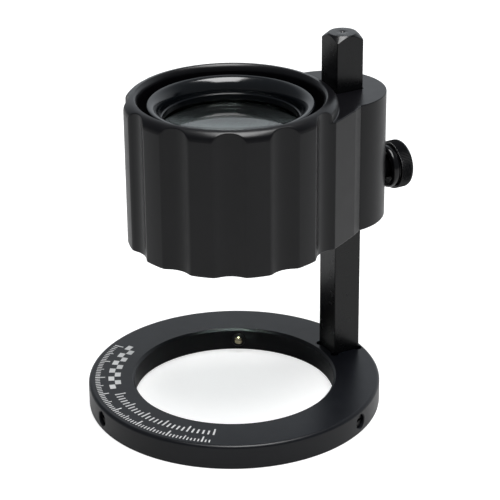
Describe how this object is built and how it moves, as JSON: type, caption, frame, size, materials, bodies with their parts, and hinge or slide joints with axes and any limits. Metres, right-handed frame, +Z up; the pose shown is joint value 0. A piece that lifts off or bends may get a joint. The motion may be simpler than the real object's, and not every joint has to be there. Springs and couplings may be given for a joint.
{
  "type": "stand magnifier",
  "caption": "Stand magnifier for close inspection: a fluted lens head slides on a square post over a flat ring base and is held by a knurled clamp screw.",
  "frame": {"origin": "centre of the ring base, on its underside", "axes": "+Z up the post, +X from the ring's centre to the post, +Y by the right-hand rule"},
  "size_m": [0.0938, 0.08, 0.0997],
  "materials": {
    "anodised_base": "black anodised, finely blasted, satin",
    "anodised_post": "black anodised over drawn bar, satin",
    "anodised_head": "black anodised, finely blasted, satin",
    "cell_black": "black anodised over a turned surface, glossy",
    "inner_black": "black anodised, dull",
    "lens_glass": "polished optical glass, coated",
    "ball_brass": "polished brass",
    "plunger_steel": "black oxide",
    "spring_steel": "bright spring wire",
    "screw_steel": "black oxide",
    "knob_steel": "black oxide, knurled rim, glossy lip"
  },
  "bodies": {
    "base": {"base_ring": "anodised_base", "post": "anodised_post", "post_screw": "screw_steel", "plunger_body_1": "plunger_steel", "plunger_body_2": "plunger_steel", "plunger_body_3": "plunger_steel", "plunger_spring_1": "spring_steel", "plunger_spring_2": "spring_steel", "plunger_spring_3": "spring_steel"},
    "ball_1": {"plunger_ball_1": "ball_brass"},
    "ball_2": {"plunger_ball_2": "ball_brass"},
    "ball_3": {"plunger_ball_3": "ball_brass"},
    "head": {"barrel": "anodised_head", "lens_cell": "cell_black", "upper_lens": "lens_glass", "lens_spacer": "inner_black", "lower_lens": "lens_glass", "retaining_ring": "inner_black"},
    "pad": {"clamp_pad": "ball_brass"},
    "screw": {"clamp_screw": "knob_steel"}
  },
  "joints": [
    {"name": "head_slide", "type": "slide", "parent": "base", "child": "head", "axis": [0, 0, 1], "range_m": [-0.0417, 0.013]},
    {"name": "clamp_travel", "type": "slide", "parent": "head", "child": "pad", "axis": [1, 0, 0], "range_m": [0, 0.0016]},
    {"name": "clamp_turn", "type": "hinge", "parent": "pad", "child": "screw", "pos_m": [0.05, 0, 0.05855], "axis": [1, 0, 0], "range_deg": [0, 720]},
    {"name": "ball_press_1", "type": "slide", "parent": "base", "child": "ball_1", "axis": [-0.9996, 0.0297, 0], "range_m": [0, 0.0006], "stiffness_N_per_m": 600, "springref_m": -0.001, "deforming": ["plunger_spring_1"]},
    {"name": "ball_press_2", "type": "slide", "parent": "base", "child": "ball_2", "axis": [0.5255, 0.8508, 0], "range_m": [0, 0.0006], "stiffness_N_per_m": 600, "springref_m": -0.001, "deforming": ["plunger_spring_2"]},
    {"name": "ball_press_3", "type": "slide", "parent": "base", "child": "ball_3", "axis": [0.4741, -0.8805, 0], "range_m": [0, 0.0006], "stiffness_N_per_m": 600, "springref_m": -0.001, "deforming": ["plunger_spring_3"]}
  ],
  "couplings": [
    {"joint": "clamp_turn", "follows": "clamp_travel", "rad_per_m": 7854}
  ]
}
